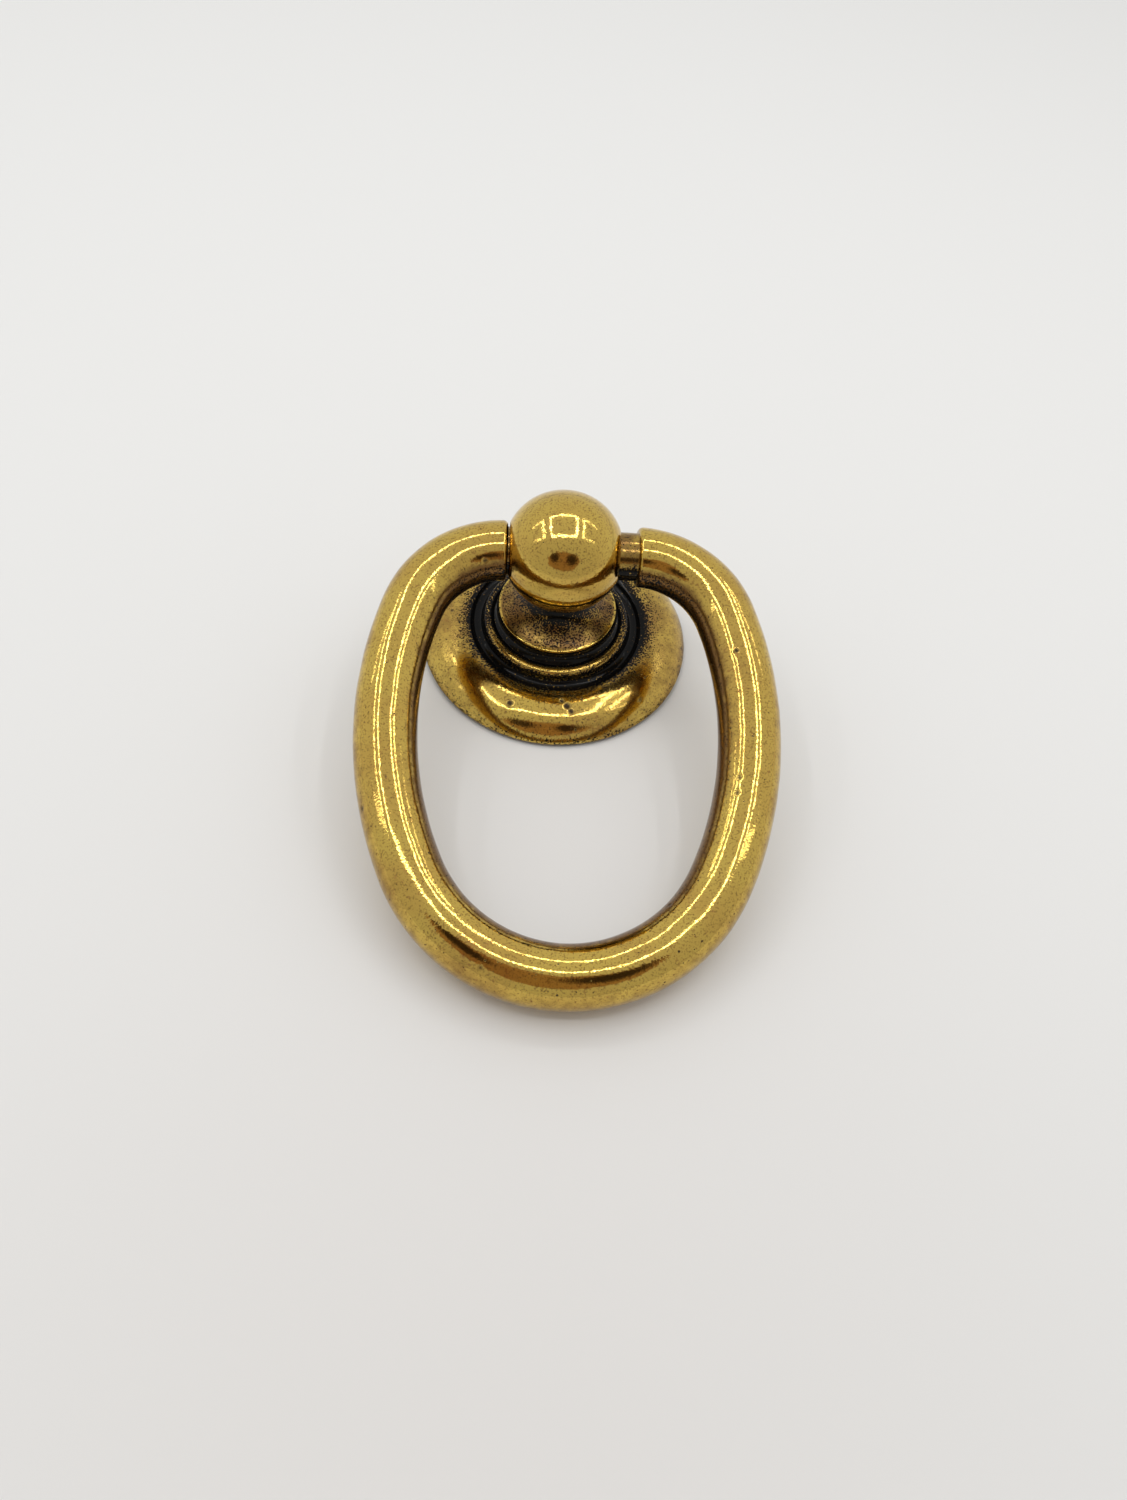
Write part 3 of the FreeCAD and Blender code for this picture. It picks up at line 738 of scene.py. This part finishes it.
# %% Wires
class Wire:
    """One output socket in a node tree, with arithmetic."""

    def __init__(self, tree, socket=None):
        self.tree = tree
        self.socket = socket

    def node(self, kind, settings=None, inputs=None, output=0):
        """Adds a node, applies its settings, feeds its inputs, and returns one output as a Wire."""
        added = self.tree.nodes.new(kind)
        for key, value in (settings or {}).items():
            setattr(added, key, value)
        for key, value in (inputs or {}).items():
            if isinstance(value, Wire):
                self.tree.links.new(value.socket, added.inputs[key])
            else:
                added.inputs[key].default_value = value
        return Wire(self.tree, added.outputs[output] if len(added.outputs) else None)

    def other_output(self, name):
        """Another output of the node that this wire comes from."""
        return Wire(self.tree, self.socket.node.outputs[name])

    def math(self, operation, first, second):
        """One Math node of two inputs."""
        return self.node("ShaderNodeMath", {"operation": operation}, {0: first, 1: second})

    def __add__(self, other):
        return self.math("ADD", self, other)

    __radd__ = __add__

    def __sub__(self, other):
        return self.math("SUBTRACT", self, other)

    def __rsub__(self, other):
        return self.math("SUBTRACT", other, self)

    def __mul__(self, other):
        return self.math("MULTIPLY", self, other)

    __rmul__ = __mul__

    def __truediv__(self, other):
        return self.math("DIVIDE", self, other)

    def at_least(self, other):
        return self.math("MAXIMUM", self, other)

    def dot(self, axis):
        """How far a vector reaches along an axis."""
        return self.node("ShaderNodeVectorMath", {"operation": "DOT_PRODUCT"}, {0: self, 1: axis}, "Value")

    def ramp(self, low, high):
        """A smooth step from 0 at low to 1 at high."""
        return self.node("ShaderNodeMapRange", {"interpolation_type": "SMOOTHSTEP"},
                         {"Value": self, "From Min": low, "From Max": high, "To Min": 0.0, "To Max": 1.0})

    def mix(self, colour, other):
        """This wire is the factor: 0 gives colour, 1 gives other."""
        return self.node("ShaderNodeMix", {"data_type": "RGBA"}, {0: self, 6: colour, 7: other}, 2)


def new_material(name):
    """An empty material and a Wire to build it with."""
    material = bpy.data.materials.new(name)
    material.use_nodes = True
    material.node_tree.nodes.clear()
    return material, Wire(material.node_tree)


def finish_material(wires, inputs):
    """Ends a material in a Principled shader with the given inputs."""
    shader = wires.node("ShaderNodeBsdfPrincipled", {}, inputs)
    wires.node("ShaderNodeOutputMaterial", {}, {"Surface": shader})


print("a wire knows", ", ".join(sorted(name for name in vars(Wire) if "__" not in name)))

# %% [markdown]
# ## The antique brass
# The finish is one metal in three states: bright olive gold where it was rubbed, brown where it tarnished,
# and a glossy black film in the recesses. The same brown and black also paint the shade that the numbers
# on the vertices ask for. The film breaks up into fine stipple at its edges, so a strong fine noise is added
# to the number for black before it is cut to a mask. Small black specks are scattered all over, each one a
# cell of a Voronoi pattern that is let through only where the cell's own random number is high.
# They also press into the bump, and a very fine grain keeps the lamps' reflections from looking like those
# of chrome. The film fills that grain, so it is smoother than the bare metal.

# %% Brass colours and noises
GOLD = (0.66, 0.466, 0.103, 1)
WARM_GOLD = (0.61, 0.40, 0.092, 1)
DULL_GOLD = (0.40, 0.25, 0.06, 1)
STAIN = (0.46, 0.22, 0.07, 1)
BROWN = (0.20, 0.108, 0.036, 1)
PIT = (0.05, 0.032, 0.013, 1)
BLACK_FILM_AND_SHADE = (0.0045, 0.0046, 0.0046, 1)
# Noises: size in millimetres, and detail.
CLOUD = (5.0, 2.0)
PATCH = (1.1, 3.0)
BLOT = (0.7, 2.0)
PEEL = (0.5, 2.0)
STIPPLE = (0.27, 1.0)
FLECK = (0.16, 0.0)
# Specks: spacing and largest radius in millimetres, and the share of cells that have one.
SMALL_SPECKS = (0.5, 0.09, 0.3)
LARGE_SPECKS = (1.1, 0.16, 0.4)


def noise(place, size, detail):
    """Noise about 0, roughly -0.5 to 0.5, with features of the given size in millimetres."""
    inputs = {"Vector": place, "Scale": 1 / (size * MM), "Detail": detail, "Roughness": 0.5}
    return place.node("ShaderNodeTexNoise", {}, inputs, "Fac") - 0.5


def specks(place, spacing, radius, share):
    """Round specks: about one per cube of the given spacing, in the given share of the cubes."""
    cells = place.node("ShaderNodeTexVoronoi", {}, {"Vector": place, "Scale": 1 / (spacing * MM)}, "Distance")
    chance = place.node("ShaderNodeSeparateColor", {}, {"Color": cells.other_output("Color")}, "Red")
    size = (chance - (1 - share)).at_least(0.0) * (radius / spacing / share)
    return 1 - (cells / (size + 0.0001)).ramp(0.55, 1.0)


print("finest noise is", FLECK[0], "mm in size, and the widest specks are", 2 * LARGE_SPECKS[1], "mm across")

# %% Brass material
BLACK_EDGES = (0.40, 0.62)
BROWN_EDGES = (0.15, 1.0)
DULL_EDGES = (-0.05, 0.5)
STAIN_EDGES = (0.16, 0.5)
STAIN_SHARE = 0.55
WARM_EDGES = (0.3, 0.7)
BARE_ROUGHNESS = 0.085
FILM_ROUGHNESS = 0.075
FILM_SPECULAR = 0.13
GRAIN_DEPTH = 0.006


def antique_brass(name):
    """The finish of all three pieces, from the numbers on their vertices."""
    material, wires = new_material(name)
    place = wires.node("ShaderNodeTexCoord", output="Object")
    black_and_shade, brown_and_shade, pit, satin = (
        wires.node("ShaderNodeAttribute", {"attribute_name": kept}, output="Fac")
        for kept in ("black_and_shade", "brown_and_shade", "pit", "satin")
    )
    cloud, patch, blot, peel, stipple, fleck = (
        noise(place, *kind) for kind in (CLOUD, PATCH, BLOT, PEEL, STIPPLE, FLECK)
    )

    broken_up = stipple * (1.1 - satin * 0.6) + fleck * 1.5 + patch * 0.3
    black = (black_and_shade + broken_up).ramp(*BLACK_EDGES)
    brown = (brown_and_shade + patch * 0.8 + cloud * 0.6 + peel * 0.4).ramp(*BROWN_EDGES)
    dull = (fleck * 1.4 + stipple * 1.2 + blot * 0.5).ramp(*DULL_EDGES)
    stained = (blot * 1.3 + cloud * 0.6 + stipple * 0.4).ramp(*STAIN_EDGES) * STAIN_SHARE
    speck = specks(place, *SMALL_SPECKS).at_least(specks(place, *LARGE_SPECKS)).at_least(pit)
    dark = black.at_least(speck)
    gold = (cloud + 0.5).ramp(*WARM_EDGES).mix(GOLD, WARM_GOLD)
    worn = stained.mix(dull.mix(gold, DULL_GOLD), STAIN)
    metal = speck.mix(brown.mix(worn, BROWN), PIT)
    colour = black.mix(metal, BLACK_FILM_AND_SHADE)
    bare = BARE_ROUGHNESS + 0.05 * (patch + peel) + 0.14 * brown + 0.14 * satin + 0.3 * speck
    roughness = bare + black * (FILM_ROUGHNESS - bare)
    grain = fleck * 0.55 + stipple * 0.8 + peel * 1.1 + patch * 1.6
    height = grain * (1 - black * 0.7) * (1 - satin * 0.5) - black * 0.5 - speck * 1.5
    bump = wires.node("ShaderNodeBump", {}, {"Strength": 1.0, "Distance": GRAIN_DEPTH * MM, "Height": height})
    finish_material(wires, {
        "Base Color": colour,
        "Metallic": 1 - dark * 0.95,
        "Roughness": roughness,
        "Normal": bump,
        "Specular IOR Level": FILM_SPECULAR,
    })
    return material


brass = antique_brass("antique_brass")
for piece in (rose, post, ring):
    piece.data.materials.clear()
    piece.data.materials.append(brass)
print("brass material has", len(brass.node_tree.nodes), "nodes")

# %% [markdown]
# ## The floor
# The pull lies on a plain pale sheet. It is no part of the object.

# %% Floor
FLOOR_COLOUR = (0.815, 0.813, 0.803, 1)
FLOOR_SIZE = 1500.0
floor_points = np.array([(-1, -1, 0), (1, -1, 0), (1, 1, 0), (-1, 1, 0)]) * FLOOR_SIZE
floor = new_piece("floor", floor_points, [(0, 1, 2, 3)])
floor_material, sheet = new_material("pale_sheet")
finish_material(sheet, {"Base Color": FLOOR_COLOUR, "Roughness": 0.9, "Specular IOR Level": 0.1})
floor.data.materials.append(floor_material)
print("floor is", 2 * FLOOR_SIZE / 1000, "m across")

# %% [markdown]
# ## The light
# The picture was taken in a small white tent with a square frame of lamps under its roof. Polished metal
# shows its surroundings more than its own colour, so these are what the highlights are made of: four thin
# strips make the bright lines along the ring and the bright window on the ball. The shiny side walls show
# the strips a second time, which doubles the lines. The tent itself is the world, pale and even, and a
# little dimmer towards its open front.

# %% Tent
TENT_BACK = (0.74, 0.74, 0.735, 1)
TENT_FRONT = (0.56, 0.555, 0.54, 1)
TO_FRONT = (0, -1, 0)
FRONT_EDGES = (-0.4, 0.9)

world = bpy.data.worlds.new("white_tent")
bpy.context.scene.world = world
world.use_nodes = True
world.node_tree.nodes.clear()
sky = Wire(world.node_tree)
look = sky.node("ShaderNodeTexCoord", output="Generated")
walls = look.dot(TO_FRONT).ramp(*FRONT_EDGES).mix(TENT_BACK, TENT_FRONT)
background = sky.node("ShaderNodeBackground", {}, {"Color": walls, "Strength": 1.0})
sky.node("ShaderNodeOutputWorld", {}, {"Surface": background})
print("the tent's front is", round(TENT_FRONT[0] / TENT_BACK[0], 2), "times as bright as its back")

# %% Lamps
FRAME_HEIGHT = 280.0
FRAME_X = (-128.0, 90.0)
FRAME_Y = (-63.0, 135.0)
LEFT_IMAGE_X = (-440.0, -214.0)
RIGHT_IMAGE_X = (158.0, 370.0)
STRIP_WIDTH = 10.0
STRIP_RADIANCE = 11.0


def strip(edge):
    """The two edges of a strip along a line."""
    return edge - STRIP_WIDTH / 2, edge + STRIP_WIDTH / 2


# Name: edges in x, edges in y, and how bright it is beside the frame itself.
STRIPS = {
    "roof_front": (FRAME_X, strip(FRAME_Y[0]), 1.0),
    "roof_back": (FRAME_X, strip(FRAME_Y[1]), 1.0),
    "roof_left": (strip(FRAME_X[0]), FRAME_Y, 1.0),
    "roof_right": (strip(FRAME_X[1]), FRAME_Y, 1.0),
    "left_wall_near": (strip(LEFT_IMAGE_X[1]), FRAME_Y, 0.85),
    "left_wall_front": (LEFT_IMAGE_X, strip(FRAME_Y[0]), 0.35),
    "left_wall_back": (LEFT_IMAGE_X, strip(FRAME_Y[1]), 0.35),
    "right_wall_near": (strip(RIGHT_IMAGE_X[0]), FRAME_Y, 0.85),
    "right_wall_front": (RIGHT_IMAGE_X, strip(FRAME_Y[0]), 0.35),
    "right_wall_back": (RIGHT_IMAGE_X, strip(FRAME_Y[1]), 0.35),
}
for name, (edges_x, edges_y, share) in STRIPS.items():
    lamp = bpy.data.lights.new(name, "AREA")
    lamp.shape = "RECTANGLE"
    lamp.size = (edges_x[1] - edges_x[0]) * MM
    lamp.size_y = (edges_y[1] - edges_y[0]) * MM
    lamp.energy = STRIP_RADIANCE * share * math.pi * lamp.size * lamp.size_y
    holder = bpy.data.objects.new(name, lamp)
    holder.location = Vector((sum(edges_x) / 2, sum(edges_y) / 2, FRAME_HEIGHT)) * MM
    bpy.context.scene.collection.objects.link(holder)
bpy.context.scene.view_settings.view_transform = "Standard"
print("lamp frame is", FRAME_X[1] - FRAME_X[0], "by", FRAME_Y[1] - FRAME_Y[0], "mm,", FRAME_HEIGHT, "mm up")

# %% [markdown]
# ## The dark card: a painted reflection
# Low on the ball and along the bottom of the ring the metal shows something brown and close. A dark card is
# put there only to paint that reflection. A dark patch painted on the world would do for one place, but ball
# and ring see a near card from different sides, so it is a real oval, mottled brown and black. It is no part
# of the object: the camera looks through it, and the lamps throw no shadow of it on the floor.

# %% Dark card
CARD_DISTANCE = 100.0
CARD_ELEVATION = math.radians(30)
CARD_YAW = math.radians(-3)
CARD_HALF_WIDTH = 54.0
CARD_HALF_HEIGHT = 32.0
CARD_BROWN = (0.45, 0.285, 0.19, 1)
CARD_BLACK = (0.055, 0.035, 0.028, 1)
CARD_CORNERS = 64
# Black blobs of the painted reflection: middle across and upright, half width and half height, as shares of
# half the card.
LEFT_BLOB = (-0.55, 0.3, 0.32, 0.6)
RIGHT_BLOB = (0.5, 0.2, 0.4, 0.65)

card_right = Vector((math.cos(CARD_YAW), math.sin(CARD_YAW), 0))
card_level = Vector((math.sin(CARD_YAW), -math.cos(CARD_YAW), 0))
card_ahead = math.cos(CARD_ELEVATION) * card_level + Vector((0, 0, math.sin(CARD_ELEVATION)))
card_up = card_ahead.cross(card_right)
card_middle = Vector((0, 0, BALL_HEIGHT)) + CARD_DISTANCE * card_ahead
card_angle = np.linspace(0, 2 * np.pi, CARD_CORNERS, endpoint=False)[:, None]
card_outline = (
    np.array(card_middle)
    + np.array(card_right) * CARD_HALF_WIDTH * np.cos(card_angle)
    + np.array(card_up) * CARD_HALF_HEIGHT * np.sin(card_angle)
)
card = new_piece("dark_card", card_outline, [list(range(CARD_CORNERS))])
card_paint, card_wires = new_material("dark_card")
card_place = card_wires.node("ShaderNodeTexCoord", output="Object")


def card_distance(axis, half_size):
    """How far a point of the card lies from its middle along an axis, as a share of half the card's size."""
    along = card_place.dot(axis)
    return (along / MM - card_middle.dot(axis)) / half_size


card_across = card_distance(card_right, CARD_HALF_WIDTH)
card_upright = card_distance(card_up, CARD_HALF_HEIGHT)


def blob(across, upright, wide, high):
    """A soft oval on the card: 1 in its middle, and 0 from a little beyond its half width and height."""
    sideways = (card_across - across) / wide
    upwards = (card_upright - upright) / high
    return 1 - (sideways * sideways + upwards * upwards).ramp(0.2, 1.3)


# Painted reflection: the card's colour copies the brown and black that the metal shows of a dark thing above
# it.
painted_reflection = blob(*LEFT_BLOB).at_least(blob(*RIGHT_BLOB)).mix(CARD_BROWN, CARD_BLACK)
finish_material(card_wires, {"Base Color": painted_reflection, "Roughness": 1.0, "Specular IOR Level": 0.0})
card.data.materials.append(card_paint)
card.visible_camera = False
card.visible_shadow = False
print("card is", 2 * CARD_HALF_WIDTH, "by", 2 * CARD_HALF_HEIGHT, "mm,", CARD_DISTANCE, "mm from the ball")

# %% [markdown]
